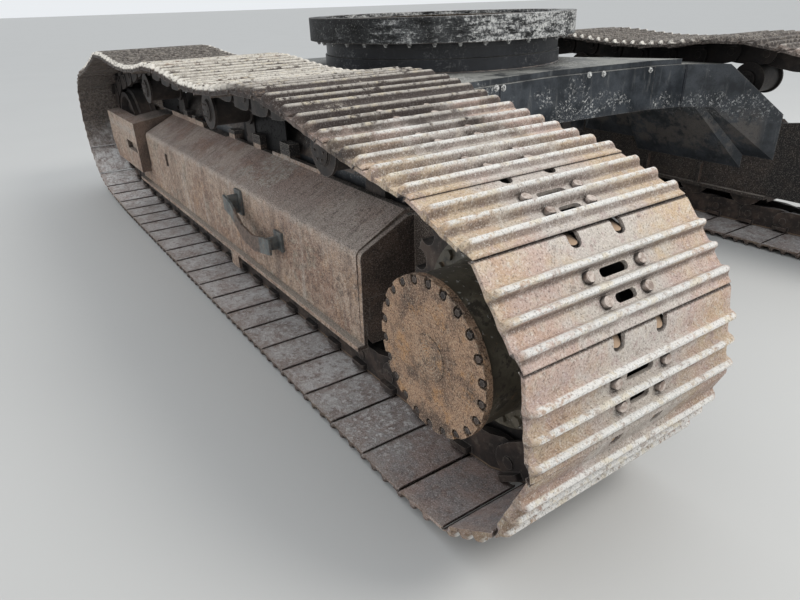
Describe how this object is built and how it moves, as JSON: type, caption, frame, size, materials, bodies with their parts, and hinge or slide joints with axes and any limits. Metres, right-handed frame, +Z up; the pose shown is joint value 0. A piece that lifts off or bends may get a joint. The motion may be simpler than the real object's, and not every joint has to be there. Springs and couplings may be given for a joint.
{
  "type": "crawler undercarriage",
  "caption": "Steel undercarriage of a large tracked digger: car body with toothed slewing ring, two sloped track frames and two tracks with triple-ribbed shoes, rusty and worn",
  "frame": {"origin": "the point on the ground under the slewing axis, midway between the two tracks and midway along them", "axes": "+X forward, to the idler end of the tracks; +Y to the left track; +Z up, along the slewing axis"},
  "size_m": [5.3638, 3.64, 1.321],
  "materials": {
    "black_paint": "black chassis paint, dusty and chipped down to rust at its edges",
    "rusty_paint": "dark paint almost gone to brown rust, dusted with dried mud",
    "worn_track_steel": "rolled and forged steel, rusty in the hollows, scraped bare and pale on its ribs",
    "greased_steel": "machined gear steel under dark grease"
  },
  "bodies": {
    "undercarriage": {"car_body": "black_paint", "slew_tub": "black_paint", "slew_inner_race": "greased_steel", "centre_swivel": "black_paint", "left_rear_leg": "black_paint", "left_front_leg": "black_paint", "right_rear_leg": "black_paint", "right_front_leg": "black_paint", "left_track_frame": "rusty_paint", "right_track_frame": "rusty_paint", "left_track": "worn_track_steel", "right_track": "worn_track_steel", "left_sprocket": "worn_track_steel", "right_sprocket": "worn_track_steel", "left_final_drive": "black_paint", "right_final_drive": "black_paint", "left_drive_cover": "rusty_paint", "right_drive_cover": "rusty_paint", "left_travel_motor": "black_paint", "right_travel_motor": "black_paint", "left_idler": "worn_track_steel", "right_idler": "worn_track_steel", "left_idler_yoke": "black_paint", "right_idler_yoke": "black_paint", "left_carrier_rollers": "worn_track_steel", "right_carrier_rollers": "worn_track_steel", "left_lower_rollers": "worn_track_steel", "right_lower_rollers": "worn_track_steel", "left_track_guards": "rusty_paint", "right_track_guards": "rusty_paint", "left_step": "black_paint", "right_step": "black_paint"},
    "slew_ring": {"slew_outer_race": "black_paint"}
  },
  "joints": [
    {"name": "slew", "type": "hinge", "parent": "undercarriage", "child": "slew_ring", "pos_m": [0, 0, 1.25], "axis": [0, 0, 1], "continuous": true}
  ]
}
